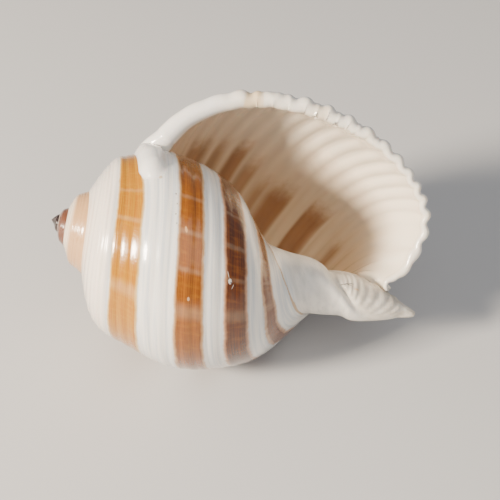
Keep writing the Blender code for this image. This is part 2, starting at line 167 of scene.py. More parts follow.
def outlinePoints(angles):
    # the outline's own 15 points at these angles of growth in degrees, as radius and height in mm
    theta = np.radians(np.asarray(angles, float))
    sinceSpire = theta + turn
    blend = shell["rateBlend"]
    ownRate = 0.5 * (sinceSpire + np.sqrt(sinceSpire**2 + blend**2))
    ownRate -= 0.5 * (turn + math.sqrt(turn**2 + blend**2))
    spireRate = math.log(shell["spireGrowth"]) / turn
    radii = []
    heights = []
    for radius, depth, wider, deeper in shell["outline"]:
        radii.append(radius * np.exp(spireRate * theta + (math.log(wider) / turn - spireRate) * ownRate))
        heights.append(-depth * np.exp(spireRate * theta + (math.log(deeper) / turn - spireRate) * ownRate))
    turned = np.maximum(sinceSpire / turn, 0.0)
    older = shell["spireGrowth"] ** np.minimum(sinceSpire / turn, 0.0)
    neck = shell["neckDepthOld"] * (shell["neckDepthLip"] / shell["neckDepthOld"]) ** turned
    gap = shell["grooveGap"] * (1 - turned) + 1.0
    groove = neck + gap
    fasciole = groove + shell["fascioleGap"] * (1 - turned) + 1.5 * turned
    taper = smoothLarger(shell["taperDepth"], fasciole + 1.0)
    radii += [
        shell["neckRadius"] * older,
        0.5 * (shell["neckRadius"] + shell["grooveRadius"]) * older,
        shell["grooveRadius"] * older,
        shell["fascioleRadius"] * older,
        shell["taperRadius"] * older,
        0.0 * older,
    ]
    heights += [
        -neck * older,
        (-neck - 0.5 * gap) * older,
        -groove * older,
        -fasciole * older,
        -taper * older,
        -shell["tipDepth"] * older,
    ]
    return np.stack([np.stack(radii, -1), np.stack(heights, -1)], -1)


def sutureAt(angles):
    # the place on the older whorl, at its own angle, where the next whorl is joined
    near = smoothStep(angles, -720.0, -620.0) * (1 - smoothStep(angles, -540.0, -430.0))
    lip = smoothStep(angles, -430.0, -362.0) * (1 - smoothStep(angles, -358.0, -325.0))
    return shell["suture"] + shell["sutureShift"] * near + shell["lipShift"] * lip


def shiftedPlaces(angle, places):
    # the rows of places, moved so that the suture's own row lies where the next whorl is joined
    around = smoothStep(places, 1.2, shell["suture"]) * (1 - smoothStep(places, shell["suture"], 5.0))
    return places + (sutureAt(angle) - shell["suture"]) * around


def ribHeight(places):
    # 0 on a rib's broad top, -1 in the narrow groove beside it
    phase = (places - shell["ribCentre"]) / shell["ribPitch"]
    groove = (0.5 - 0.5 * np.cos(turn * phase)) ** 1.6
    return -groove * smoothStep(places, 0.1, 0.5) * (1 - smoothStep(places, 8.2, 8.6))


def rimTeeth(places):
    # along the lip a broad tooth on each rib and a narrow one between, from 0 to 1
    gone = places - shell["ribCentre"]
    phase = np.where(gone < 0, gone / shell["toothPitchOld"], gone / shell["ribPitch"])
    off = np.abs((phase + 0.5) % 1.0 - 0.5)
    reach = 0.32 + 0.18 * smoothStep(places, 3.6, 4.8)
    broad = np.cos(0.5 * math.pi * np.minimum(off / reach, 1.0))
    narrow = 0.6 * np.cos(0.5 * math.pi * np.minimum((0.5 - off) / np.maximum(0.5 - reach, 0.01), 1.0))
    tops = np.sqrt(np.maximum(broad, narrow * (off > reach)) ** 2 + 0.04)
    fade = smoothStep(places, 1.3, 2.1) * (1 - smoothStep(places, 7.2, 7.7))
    return 0.7 + (tops - 0.7) * fade


def notch(places):
    return -shell["notchAngle"] * smoothStep(places, 9.15, 10.1) * (1 - smoothStep(places, 10.9, 12.0))


def neckRelief(angles, places):
    # the fold beside the fasciole, the ripples of old canal edges on it, and the small nib at its end
    foldStart, foldMove = shell["foldPlace"]
    fold = foldStart + foldMove * smoothStep(angles, *shell["foldAngles"])
    own = smoothStep(angles, -420.0, -380.0) * (1 - smoothStep(angles, -275.0, -215.0))
    ridge = 0.8 * hump(places, fold - 0.34, 0.3) - hump(places, fold + 0.07, 0.13)
    ripples = np.cos(turn * ((places - 10.62) / shell["ripplePitch"] + 0.0003 * (angles + 310.0) ** 2))
    ripples *= smoothStep(places, fold + 0.15, fold + 0.45) * (1 - smoothStep(places, 11.3, 11.5))
    relief = own * (shell["foldHeight"] * ridge + shell["rippleHeight"] * ripples)
    nib = 0.45 * smoothStep(places, 11.55, 11.9) - 0.14 * hump(places, 11.5, 0.09)
    return relief + nib * smoothStep(angles, -420.0, -380.0)


def lineAt(angles, places):
    weights = splineWeights(places)
    return np.einsum("...k,...kc->...c", weights, outlinePoints(angles))


def lineNormal(angles, places):
    points = outlinePoints(angles)
    ahead = np.einsum("...k,...kc->...c", splineWeights(np.minimum(places + 0.01, 12.0)), points)
    behind = np.einsum("...k,...kc->...c", splineWeights(np.maximum(places - 0.01, 0.0)), points)
    along = ahead - behind
    along /= np.linalg.norm(along, axis=-1, keepdims=True)
    return np.stack([-along[..., 1], along[..., 0]], -1)


def bareLine(angles, places, lift=0.0, inside=False):
    size = np.minimum(1.0, shell["spireGrowth"] ** (angles / 360.0))
    depth = shell["ribDepth"] + (shell["ribDepthLip"] - shell["ribDepth"]) * smoothStep(angles, -50.0, -4.0)
    if inside:
        depth = shell["ribDepthInside"] * smoothStep(awayFromLip(angles, places), 1.5, 8.0)
    lift = lift + depth * size**0.8 * ribHeight(places) + neckRelief(angles, places)
    across = smoothStep(places, 1.5, 2.7) * (1 - smoothStep(places, 4.0, 5.2))
    swell = shell["swell"] * across * smoothStep(angles, -430.0, -372.0)
    lift = lift + swell * (1 - smoothStep(angles, -345.0, -300.0))
    trim = shell["spireTrim"] * size * 2.1 * hump(places, 1.9, 0.75)
    lift = lift - trim * (1 - smoothStep(angles, -660.0, -520.0))
    return lineAt(angles, places) + lineNormal(angles, places) * lift[..., None]


def awayFromLip(angles, places):
    line = lineAt(np.zeros_like(angles), places)
    return np.maximum(np.radians(notch(places) - angles) * np.maximum(line[..., 0], 6.0), 0.0)


def flareOf(angles, places):
    close = np.exp(-((awayFromLip(angles, places) / shell["flareReach"]) ** 2))
    early = smoothStep(places, -0.05, 0.9)
    return close * early * (1 - smoothStep(places, 8.0, 8.8))


def lipThickening(angles, places):
    close = np.exp(-((awayFromLip(angles, places) / shell["lipReach"]) ** 2))
    later = smoothStep(places, 3.0, 5.8)
    most = shell["lipThickness"] * (1 - later) + shell["lipThicknessEnd"] * later
    teeth = 1 + 0.1 * (rimTeeth(places) - 0.7)
    return most * teeth * close * (1 - smoothStep(places, 8.0, 8.8))


def outerLine(angles, places, inside=False):
    own = angles + notch(places) * smoothStep(angles, -150.0, 0.0)
    crest = 2 * rimTeeth(places) - 1
    lift = flareOf(own, places) * (shell["flare"] + shell["scallop"] * crest) * (angles > -90)
    line = bareLine(own, places, lift, inside)
    joined = bareLine(angles - 360.0, sutureAt(angles - 360.0) + 0 * places)
    first = bareLine(angles, np.zeros_like(places))
    hold = np.clip(1 - places / 1.2, 0.0, 1.0) ** 2
    line = line + hold[..., None] * (joined - first)
    lastStretch = hump(places, 8.95, 0.42) * smoothStep(own, -45.0, -4.0)
    return line + lastStretch[..., None] * np.array(shell["lipEnd"]), own


def innerLine(angles, places):
    line, own = outerLine(angles, places, True)
    ahead = outerLine(angles, np.minimum(places + 0.05, 12.0), True)[0]
    behind = outerLine(angles, np.maximum(places - 0.05, 0.0), True)[0]
    along = ahead - behind
    along /= np.linalg.norm(along, axis=-1, keepdims=True)
    normal = np.stack([-along[..., 1], along[..., 0]], -1)
    thickness = shell["wall"] * shell["wallGrowth"] ** (np.minimum(angles, 0.0) / 360.0)
    thickness = np.minimum(thickness, 0.35 * np.maximum(line[..., 0], 0.0))
    fold = hump(places, 7.55 - 0.011 * angles, 0.15) * smoothStep(angles, -60.0, -20.0)
    thickness = thickness + (lipThickening(own, places) + shell["foldInside"] * fold) * (angles > -90)
    return line - normal * thickness[..., None], own


def leanAt(angles, places):
    # how far the oldest whorls lean over; the top of a whorl leans as the one that it is joined to
    own = smoothStep(-np.asarray(angles, float), 500.0, 1000.0)
    joined = smoothStep(360.0 - np.asarray(angles, float), 500.0, 1000.0)
    hold = np.clip(1 - places / 1.2, 0.0, 1.0) ** 2
    return (own + hold * (joined - own))[..., None] * np.array(shell["lean"])


def turned(line, angles, places=12.0):
    theta = np.radians(angles)
    laid = np.stack([line[..., 0] * np.cos(theta), -line[..., 0] * np.sin(theta), line[..., 1]], -1)
    return laid + leanAt(angles, np.asarray(places, float))


class Skin:
    # points and faces, with the angle and place of growth, and the side, at every face corner
    def __init__(self):
        self.points = []
        self.faces = []
        self.corners = []
        self.count = 0

    def add(self, points):
        points = np.asarray(points, float).reshape(-1, 3)
        self.points.append(points)
        first = self.count
        self.count += len(points)
        return np.arange(first, self.count)

    def cloud(self):
        return np.concatenate(self.points)

    def grid(self, numbers, marks):
        # numbers: columns by rows of point numbers, marks: the same by (angle, place, side)
        for j in range(len(numbers) - 1):
            left, right = numbers[j], numbers[j + 1]
            for i in range(len(left) - 1):
                corners = [(left[i], marks[j][i]), (right[i], marks[j + 1][i])]
                corners += [(right[i + 1], marks[j + 1][i + 1]), (left[i + 1], marks[j][i + 1])]
                kept = [c for k, c in enumerate(corners) if c[0] not in [d[0] for d in corners[:k]]]
                if len(kept) > 2:
                    self.faces.append([c[0] for c in kept])
                    self.corners.append([c[1] for c in kept])

    def zipper(self, first, second, firstMarks, secondMarks):
        points = self.cloud()
        i = j = 0
        while i < len(first) - 1 or j < len(second) - 1:
            useFirst = i < len(first) - 1
            if useFirst and j < len(second) - 1:
                one = np.linalg.norm(points[first[i + 1]] - points[second[j]])
                two = np.linalg.norm(points[first[i]] - points[second[j + 1]])
                useFirst = one <= two
            if useFirst:
                third, mark = first[i + 1], firstMarks[i + 1]
            else:
                third, mark = second[j + 1], secondMarks[j + 1]
            if len({int(first[i]), int(second[j]), int(third)}) == 3:
                self.faces.append([first[i], second[j], third])
                self.corners.append([firstMarks[i], secondMarks[j], mark])
            if useFirst:
                i += 1
            else:
                j += 1


def shellRows():
    step = shell["ribPitch"] / shell["rowsPerRib"]
    first = shell["ribCentre"] - 7 * shell["ribPitch"]
    rows = [0.0] + [first * k / 4 for k in (1, 2, 3)]
    rows += [first + step * i for i in range(int((8.52 - first) / step) + 1)]
    rows += [8.6 + 0.085 * i for i in range(13)] + [9.7 + 0.04 * i for i in range(57)]
    rows += [12.0]
    nearest = int(np.argmin([abs(r - shell["suture"]) for r in rows]))
    rows[nearest] = shell["suture"]
    return np.array(rows), nearest


def buildShell():
    rows, sutureRow = shellRows()
    lastRow = len(rows) - 1
    rootRow = int(np.argmin(np.abs(rows - shell["rootPlace"])))
    neckRow = int(np.argmin(np.abs(rows - shell["neckPlace"])))
    nearLip = [-0.6, -1.4, -2.3, -3.3, -4.4, -5.7, -7.2, -9.0]
    pattern = [-360.0 + 360.0 * k / shell["columns"] for k in range(shell["columns"])]
    pattern = sorted([a for a in pattern if a < -10.0] + nearLip)
    perTurn = len(pattern)
    whorls = shell["whorls"]
    angles = np.array([a - 360.0 * w for w in range(whorls - 1, -1, -1) for a in pattern] + [0.0])
    lastTurn = perTurn * (whorls - 1)
    skin = Skin()
    tip = skin.add([(0.0, 0.0, -shell["tipDepth"])])[0]

    # the outside, column by column
    outer = []
    outerMarks = []
    for column, angle in enumerate(angles):
        full = column >= lastTurn
        places = shiftedPlaces(angle, rows[:lastRow] if full else rows[: sutureRow + 1])
        line, own = outerLine(np.full(len(places), angle), places)
        cloud = turned(line, own, places)
        if column < perTurn:
            first = list(skin.add(cloud[:1]))
        else:
            first = [outer[column - perTurn][sutureRow]]
        numbers = first + list(skin.add(cloud[1:]))
        marks = [(o, p, 0.0) for o, p in zip(own, places)]
        if full:
            numbers.append(tip)
            marks.append((own[-1], 12.0, 0.0))
        outer.append(numbers)
        outerMarks.append(marks)
    spire = [numbers[: sutureRow + 1] for numbers in outer[: lastTurn + 1]]
    spireMarks = [marks[: sutureRow + 1] for marks in outerMarks[: lastTurn + 1]]
    skin.grid(spire, spireMarks)
    skin.grid(outer[lastTurn:], outerMarks[lastTurn:])

    # the very apex
    apex = skin.add([(shell["lean"][0], shell["lean"][1], 0.1)])[0]
    ring = [n[0] for n in outer[: perTurn + 1]] + [outer[0][i] for i in range(sutureRow - 1, 0, -1)]
    for a, b in zip(ring, ring[1:] + ring[:1]):
        skin.faces.append([a, b, apex])
        skin.corners.append([(angles[0], 0.0, 0.0)] * 3)

    # the inside: the wall's inner face, and the older whorl and core that it faces
    tube = [0.0] + nearLip + list(np.arange(-11.0, -112.0, -4.0)) + list(np.arange(-120.0, -420.0, -20.0))
    inside, insideMarks, parietal, parietalMarks = [], [], [], []
    count = lastRow - neckRow
    part = np.clip((np.arange(lastRow) - neckRow) / count, 0.0, 1.0)
    for column, angle in enumerate(tube):
        older = shell["spireGrowth"] ** min((angle + 360.0) / 360.0, 0.0)
        canal = float(1 - smoothStep(-angle, 20.0, 130.0))
        openNeck = float(1 - smoothStep(-angle, 4.0, 55.0))
        opened = float(smoothStep(-angle, 0.0, 60.0))
        line, own = innerLine(np.full(lastRow, angle), rows[:lastRow])
        neckStart = line[neckRow].copy()
        radius = (shell["coreRadius"] * (1 - canal) + shell["canalCoreRadius"] * canal * opened) * older
        deepCorner = np.array([radius, neckStart[1] + older])
        tipCorner = np.array([radius, -shell["tipDepth"] + 4.0 * opened])
        corner = tipCorner * canal + deepCorner * (1 - canal)
        share = part[:, None]
        straight = neckStart * (1 - share) + corner * share
        beyond = part > 0
        line[beyond] = (line * canal + straight * (1 - canal))[beyond]
        own = own * (1 - part * (1 - canal)) + angle * part * (1 - canal)
        # the parietal wall is the outside of the whorl before
        keptStart = rows[rootRow]
        wallStart = float(sutureAt(angle - 360.0)) + 0.25
        start = keptStart + (wallStart - keptStart) * float(smoothStep(-angle, 0.0, 40.0))
        wallRows = rows[rootRow:lastRow]
        shifted = wallRows + (start - keptStart) * np.clip(1 - (wallRows - keptStart) / 2.0, 0.0, 1.0)
        oldAngle = np.full(len(wallRows), angle - 360.0)
        oldLine = bareLine(oldAngle, shifted)
        base = oldLine[neckRow - rootRow].copy()
        coreShare = part[rootRow:][:, None]
        coreRadius = corner[0] + (base[0] - corner[0]) * (1 - coreShare) ** 2
        core = np.concatenate([coreRadius, base[1] + (corner[1] - base[1]) * coreShare], 1)
        beyondWall = coreShare[:, 0] > 0
        oldLine[beyondWall] = (oldLine * openNeck + core * (1 - openNeck))[beyondWall]
        if column == 0:
            wallNumbers = list(outer[lastTurn][rootRow:])
            cornerNumber = tip
        else:
            wallNumbers = list(skin.add(turned(oldLine, oldAngle)))
            cornerNumber = skin.add(turned(corner[None], np.array([angle])))[0]
            wallNumbers.append(cornerNumber)
        parietal.append(wallNumbers)
        parietalMarks.append([(angle - 360.0, p, 0.0) for p in shifted] + [(angle - 360.0, 12.0, 0.0)])
        reach = shell["cornerReach"]
        held = innerLine(np.array([angle]), np.array([reach]))[0][0]
        low = (rows[:lastRow] < reach)[:, None]
        toCorner = rows[:lastRow, None] / reach
        wallCorner = skin.cloud()[wallNumbers[0]]
        laid = turned(line, own)
        heldPoint = turned(held[None], np.array([angle]))[0]
        laid = np.where(low, wallCorner * (1 - toCorner) + heldPoint * toCorner, laid)
        inside.append([wallNumbers[0]] + list(skin.add(laid[1:])) + [cornerNumber])
        insideMarks.append([(a, p, 1.0) for a, p in zip(own, rows)] + [(angle, 12.0, 1.0)])
    skin.grid(inside, insideMarks)
    skin.grid(parietal, parietalMarks)
    skin.zipper(inside[-1], parietal[-1], insideMarks[-1], parietalMarks[-1])

    # the rounded edge of the lip, which runs down onto the whorl before as the callus
    cloud = skin.cloud()
    edge, innerEdge = outer[-1], inside[0]
    edgePoints, innerPoints = cloud[edge[1:lastRow]], cloud[innerEdge[1:lastRow]]
    places = rows[1:lastRow]
    theta = np.radians(notch(places))
    forward = np.stack([-np.sin(theta), -np.cos(theta), np.zeros(len(places))], 1)
    later = smoothStep(places, 3.2, 6.0)
    bulge = shell["lipBulge"] * (1 - later) + shell["lipBulgeEnd"] * later
    bulge = bulge * (1 - smoothStep(places, 8.4, 9.2)) + 0.3
    bulge = bulge + shell["tooth"] * (rimTeeth(places) - 0.7)
    bulge = bulge * (1 - 0.8 * smoothStep(places, 11.0, 11.9)) * smoothStep(places, -0.1, 0.5)
    root = outer[lastTurn][sutureRow : rootRow + 1]
    shares = [0.5 - 0.5 * math.cos(math.pi * k / 10) for k in range(1, 10)]
    rims = []
    for share in shares:
        out = 2 * math.sqrt(share * (1 - share))
        straight = edgePoints * (1 - share) + innerPoints * share
        rims.append(skin.add(straight + forward * (bulge * out)[:, None]))
    strips = [[edge[i + 1]] + [rim[i] for rim in rims] + [innerEdge[i + 1]] for i in range(lastRow - 1)]
    sides = [0.0] + shares + [1.0]
    stripMarks = [[(notch(p), p, side) for side in sides] for p in places]
    skin.grid(strips, stripMarks)
    for a, b in zip(strips[-1][:-1], strips[-1][1:]):
        skin.faces.append([a, b, tip])
        skin.corners.append([(0.0, 12.0, 0.5)] * 3)
    startMarks = [(0.0, 0.0, 0.5)] * len(root)
    skin.zipper(strips[0], root, stripMarks[0], startMarks)
    middle = {float(p): a * 0.5 + b * 0.5 for p, a, b in zip(places, edgePoints, innerPoints)}
    return skin, middle


def rollPath(middle):
    # a smooth curve of centres with the roll's radius, from along the rim down onto the whorl
    knots = []
    for place, radius in shell["rollOnRim"]:
        near = min(middle, key=lambda p: abs(p - place))
        knots.append([*(middle[near] + np.array([0.0, -0.3, 0.0])), radius])
    for angle, place, lift, radius in shell["rollOnWhorl"]:
        line = bareLine(np.array([angle]), np.array([place]), np.array([lift]))
        knots.append([*turned(line, np.array([angle]))[0], radius])
    knots = np.array(knots)
    ends = np.concatenate([2 * knots[:1] - knots[1:2], knots, 2 * knots[-1:] - knots[-2:-1]])
    path = []
    for i in range(len(knots) - 1):
        a, b, c, d = ends[i : i + 4]
        for share in np.linspace(0, 1, shell["rollSteps"], endpoint=i == len(knots) - 2):
            knot = 2 * b + (c - a) * share + (2 * a - 5 * b + 4 * c - d) * share**2
            path.append(0.5 * (knot + (3 * b - 3 * c + d - a) * share**3))
    return np.array(path)


def pushRoll(cloud, path):
    # every point inside the roll is moved out to its surface; returns how deep in it each one was
    near = np.linalg.norm(cloud - path[:, :3].mean(axis=0), axis=1) < 40
    points = cloud[near]
    gaps = np.linalg.norm(points[:, None] - path[None, :, :3], axis=2)
    closest = (gaps - path[None, :, 3]).argmin(axis=1)
    centre, radius = path[closest, :3], path[closest, 3]
    distance = gaps[np.arange(len(points)), closest]
    blend = shell["rollBlend"]
    fuller = 0.5 * (distance + radius + np.sqrt((distance - radius) ** 2 + blend**2 * 0.5))
    fade = 1 - smoothStep(distance - radius, 0.5, 3.0)
    moved = cloud.copy()
    away = (points - centre) / np.maximum(distance, 0.05)[:, None]
    moved[near] = centre + away * (distance + (fuller - distance) * fade)[:, None]
    covered = np.zeros(len(cloud))
    covered[near] = 1 - smoothStep(distance - radius, -0.1, 0.5)
    return moved, covered


def layDown(cloud):
    up = -np.array(shell["down"]) / np.linalg.norm(shell["down"])
    canal = np.array([0.0, 0.0, -1.0])
    ahead = canal - up * (canal @ up)
    ahead /= np.linalg.norm(ahead)
    laid = cloud @ np.stack([ahead, np.cross(up, ahead), up], axis=1) - np.array(shell["restShift"])
    laid[:, 2] = np.maximum(laid[:, 2], 0.0)
    return laid * shell["fit"] * mm


def makeShell():
    skin, middle = buildShell()
    path = rollPath(middle)
    cloud, covered = pushRoll(skin.cloud(), path)
    bend = path[shell["rollSteps"] * len(shell["rollOnRim"]) - shell["bendBefore"], :3]
    atBend = (np.linalg.norm(cloud - bend, axis=1) < shell["bendReach"]) & (covered > 0.6)
    cloud = layDown(cloud)
    mesh = bpy.data.meshes.new("shellBody")
    mesh.from_pydata(cloud.tolist(), [], [[int(c) for c in face] for face in skin.faces])
    growth = mesh.uv_layers.new(name="growth")
    side = mesh.uv_layers.new(name="side")
    marks = np.array([mark for face in skin.corners for mark in face], float)
    callus = np.array([covered[c] for face in skin.faces for c in face])
    growth.data.foreach_set("uv", np.stack([marks[:, 0] / 360.0, marks[:, 1]], 1).ravel())
    side.data.foreach_set("uv", np.stack([marks[:, 2], callus], 1).ravel())
    mesh.update()
    piece = bpy.data.objects.new("shellBody", mesh)
    bpy.context.scene.collection.objects.link(piece)
    bpy.ops.object.select_all(action="DESELECT")
    piece.select_set(True)
    bpy.context.view_layer.objects.active = piece
    bpy.ops.object.mode_set(mode="EDIT")
    bpy.ops.mesh.select_all(action="SELECT")
    bpy.ops.mesh.normals_make_consistent(inside=False)
    bpy.ops.mesh.select_all(action="DESELECT")
    bpy.ops.object.mode_set(mode="OBJECT")
    mesh.vertices.foreach_set("select", atBend)
    bpy.ops.object.mode_set(mode="EDIT")
    bpy.ops.mesh.select_mode(type="VERT")
    bpy.ops.mesh.vertices_smooth(factor=0.5, repeat=shell["bendSmoothing"])
    bpy.ops.object.mode_set(mode="OBJECT")
    bpy.ops.object.shade_smooth()
    return piece


shellPiece = makeShell()
print("shell modelled:", len(shellPiece.data.polygons), "faces")


def screenColour(red, green, blue):
    # a colour as it looks on a screen, 0 to 255, on the scale that the shader takes
    parts = [part / 255 for part in (red, green, blue)]
    return (*[p / 12.92 if p < 0.04045 else ((p + 0.055) / 1.055) ** 2.4 for p in parts], 1.0)


class Graph:
    # a short way to add nodes: each call returns the new node's output
    def __init__(self, tree):
        self.tree = tree
        self.made = 0

    def node(self, kind, **settings):
        node = self.tree.nodes.new(kind)
        node.location = (220 * (self.made // 6), -190 * (self.made % 6))
        self.made += 1
        for key, value in settings.items():
            setattr(node, key, value)
        return node

    def put(self, socket, value):
        if isinstance(value, bpy.types.NodeSocket):
            self.tree.links.new(value, socket)
        else:
            socket.default_value = value

    def math(self, operation, *values):
        node = self.node("ShaderNodeMath", operation=operation)
        for socket, value in zip(node.inputs, values):
            self.put(socket, value)
        return node.outputs[0]

    def times(self, *values):
        product = values[0]
        for value in values[1:]:
            product = self.math("MULTIPLY", product, value)
        return product

    def smooth(self, value, start, end, low=0.0, high=1.0):
        node = self.node("ShaderNodeMapRange", interpolation_type="SMOOTHSTEP")
        for socket, given in zip(node.inputs, (value, start, end, low, high)):
            self.put(socket, given)
        return node.outputs[0]

    def mix(self, share, first, second):
        node = self.node("ShaderNodeMix", data_type="RGBA")
        self.put(node.inputs["Factor"], share)
        self.put(node.inputs[6], first)
        self.put(node.inputs[7], second)
        return node.outputs[2]

    def noise(self, x, y, scaleX, scaleY, seed=0.0, detail=2.0):
        place = self.node("ShaderNodeCombineXYZ")
        self.put(place.inputs[0], self.times(x, scaleX))
        self.put(place.inputs[1], self.times(y, scaleY))
        place.inputs[2].default_value = seed
        texture = self.node("ShaderNodeTexNoise")
        self.tree.links.new(place.outputs[0], texture.inputs["Vector"])
        texture.inputs["Scale"].default_value = 1.0
        texture.inputs["Detail"].default_value = detail
        return texture.outputs[0]

    def group(self, tree, *values):
        node = self.node("ShaderNodeGroup", node_tree=tree)
        for socket, value in zip(node.inputs, values):
            self.put(socket, value)
        return node.outputs[0]


def newGroup(name, inputs, output):
    tree = bpy.data.node_groups.new(name, "ShaderNodeTree")
    for given in inputs:
        tree.interface.new_socket(name=given, in_out="INPUT", socket_type="NodeSocketFloat")
    tree.interface.new_socket(name=output, in_out="OUTPUT", socket_type="NodeSocketFloat")
    graph = Graph(tree)
    enter = graph.node("NodeGroupInput")
    leave = graph.node("NodeGroupOutput")
    return graph, {given: enter.outputs[given] for given in inputs}, leave.inputs[output]


def makeBandGroup():
    graph, given, mask = newGroup("spiralBand", ["Place", "Centre", "Half Width", "Softness"], "Mask")
    off = graph.math("ABSOLUTE", graph.math("SUBTRACT", given["Place"], given["Centre"]))
    inner = graph.math("SUBTRACT", given["Half Width"], given["Softness"])
    outer = graph.math("ADD", given["Half Width"], given["Softness"])
    graph.put(mask, graph.smooth(off, inner, outer, 1.0, 0.0))
    return graph.tree


def makeSpotGroup():
    # one small mark: an oval on the surface, slanting across the growth where it has a slant
    inputs = ["Degrees", "Place", "At Degrees", "At Place", "Length", "Width", "Slant"]
    graph, given, mask = newGroup("smallMark", inputs, "Mask")
    along = graph.math("SUBTRACT", given["Degrees"], given["At Degrees"])
    across = graph.math("SUBTRACT", given["Place"], given["At Place"])
    across = graph.math("SUBTRACT", across, graph.times(along, given["Slant"]))
    along = graph.math("DIVIDE", along, given["Length"])
    across = graph.math("DIVIDE", across, given["Width"])
    rough = graph.noise(given["Degrees"], given["Place"], 1.1, 22.0, 3.0)
    both = graph.math("ADD", graph.times(along, along), graph.times(across, across))
    both = graph.math("ADD", both, graph.times(graph.math("SUBTRACT", rough, 0.5), 0.9))
    graph.put(mask, graph.smooth(both, 0.5, 1.2, 1.0, 0.0))
    return graph.tree


shellLook = {
    "white": (242, 238, 230),
    "whiteStreak": (204, 209, 212),
    "upperWhorl": ((248, 234, 218), (228, 212, 204)),
    # painted shade for the grooves between the ribs
    "grooveShade": (170, 160, 146),
    # centre and half width, main colour, streak colour, edge colour, how soft
    "bands": [
        (3.02, 0.49, (166, 102, 0), (190, 136, 22), (202, 156, 40), 0.035),
        (5.13, 0.38, (150, 86, 10), (108, 54, 6), (196, 134, 22), 0.04),
        (6.51, 0.28, (78, 36, 10), (126, 64, 12), (190, 116, 20), 0.04),
        (7.49, 0.13, (124, 64, 18), (98, 50, 16), (190, 130, 56), 0.03),
    ],
    "bandEdge": 0.065,
    "ochreLine": (190, 146, 84),
    "neck": ((242, 236, 226), (212, 208, 200)),
    "fasciole": ((234, 225, 210), (198, 188, 172)),
    "penultimate": ((244, 222, 192), (202, 158, 112)),
    "brownWhorl": ((98, 58, 38), (140, 92, 66)),
    "paleSuture": (244, 228, 208),
    "speck": (120, 116, 92),
    "apex": (40, 22, 18),
    "callus": (242, 238, 232),
    "rim": ((246, 238, 224), (232, 210, 172)),
    # the inside's colour, cream at the lip and tan deeper in; the tan is partly its own tone, partly painted
    # shade of the deep mouth
    "inside": ((252, 238, 216), (228, 200, 162)),
    # inside stripes: centre and half width, where they end in degrees, strength
    "stripes": [
        (1.78, 0.26, -38.0, 0.75),
        (2.35, 0.14, -38.0, 0.65),
        (2.87, 0.17, -38.0, 0.9),
        (3.33, 0.16, -46.0, 0.75),
        (3.80, 0.14, -54.0, 0.7),
        (4.30, 0.28, -54.0, 0.95),
        (5.45, 0.33, -54.0, 0.95),
        (6.70, 0.19, -64.0, 0.7),
    ],
    "stripe": (152, 96, 52),
    # pale lines across the growth: degrees, half width in degrees, strength
    "growthLine": (246, 222, 184),
    "growthLines": [(-311.0, 1.1, 0.09), (-291.0, 1.3, 0.11), (-272.0, 1.2, 0.09), (-250.0, 3.5, 0.1)],
    # small marks: degrees, place, length, width, slant, colour, strength
    "marks": [
        (-271.0, 6.34, 1.7, 0.055, 0.0, (240, 234, 226), 0.95),
        (-274.6, 6.29, 2.0, 0.012, 0.012, (236, 222, 204), 0.8),
        (-268.2, 6.42, 1.5, 0.012, -0.02, (236, 222, 204), 0.8),
        (-270.4, 6.37, 0.5, 0.02, 0.0, (74, 44, 28), 0.9),
        (-292.0, 4.95, 1.7, 0.045, 0.01, (222, 172, 118), 0.75),
        (-257.6, 5.12, 1.2, 0.04, 0.0, (226, 190, 150), 0.7),
        (-311.0, 4.6, 0.6, 0.022, 0.0, (110, 96, 84), 0.8),
        (-305.0, 4.64, 0.5, 0.02, 0.0, (120, 104, 90), 0.7),
        (-299.0, 4.61, 0.6, 0.02, 0.0, (120, 104, 90), 0.7),
        (-294.0, 4.65, 0.5, 0.02, 0.0, (110, 96, 84), 0.7),
        (-321.0, 4.1, 1.2, 0.06, 0.0, (188, 148, 86), 0.6),
        (-312.0, 10.31, 5.0, 0.055, -0.055, (62, 46, 34), 0.95),
        (-310.5, 10.36, 2.6, 0.04, 0.06, (74, 56, 40), 0.8),
        (-303.0, 10.62, 2.4, 0.07, 0.0, (204, 158, 92), 0.6),
        (-2.0, 2.1, 12.0, 0.16, 0.0, (232, 196, 130), 0.6),
    ],
}


